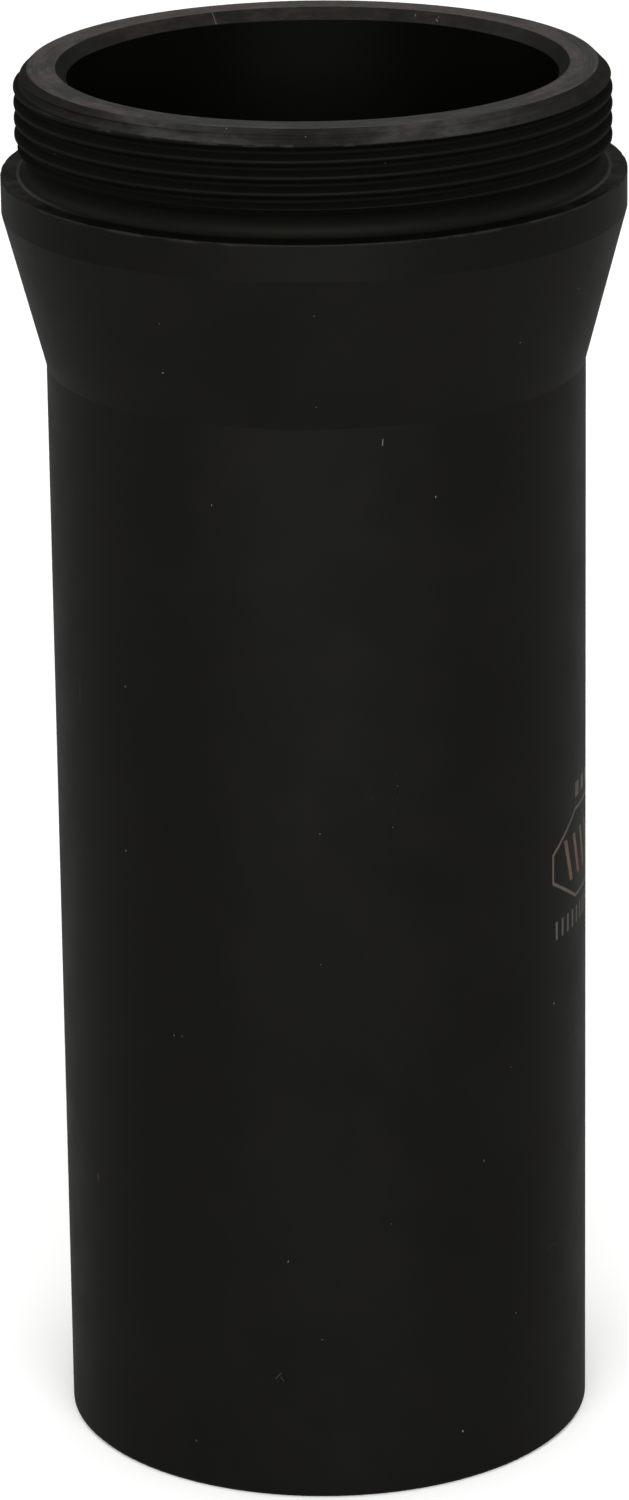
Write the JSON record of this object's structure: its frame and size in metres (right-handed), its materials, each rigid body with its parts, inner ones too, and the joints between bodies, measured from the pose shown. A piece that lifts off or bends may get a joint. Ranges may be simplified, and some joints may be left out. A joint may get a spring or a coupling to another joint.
{
  "type": "threaded support sleeve",
  "caption": "Round steel support sleeve, open from end to end, with a right-hand external thread and relief groove above a shouldered collar that tapers to a long plain tube.",
  "frame": {"origin": "centre of the sleeve's bottom end face, on its axis", "axes": "+Z along the sleeve's axis from the plain end to the threaded end; the thread crest crosses the -Y side at 175.4 mm"},
  "size_m": [0.0788, 0.0788, 0.1812],
  "materials": {
    "black_oxide_steel": "black oxide over turned steel, satin, brighter and browner on the rim and the edges"
  },
  "bodies": {
    "root": {"support_sleeve": "black_oxide_steel"}
  },
  "joints": []
}
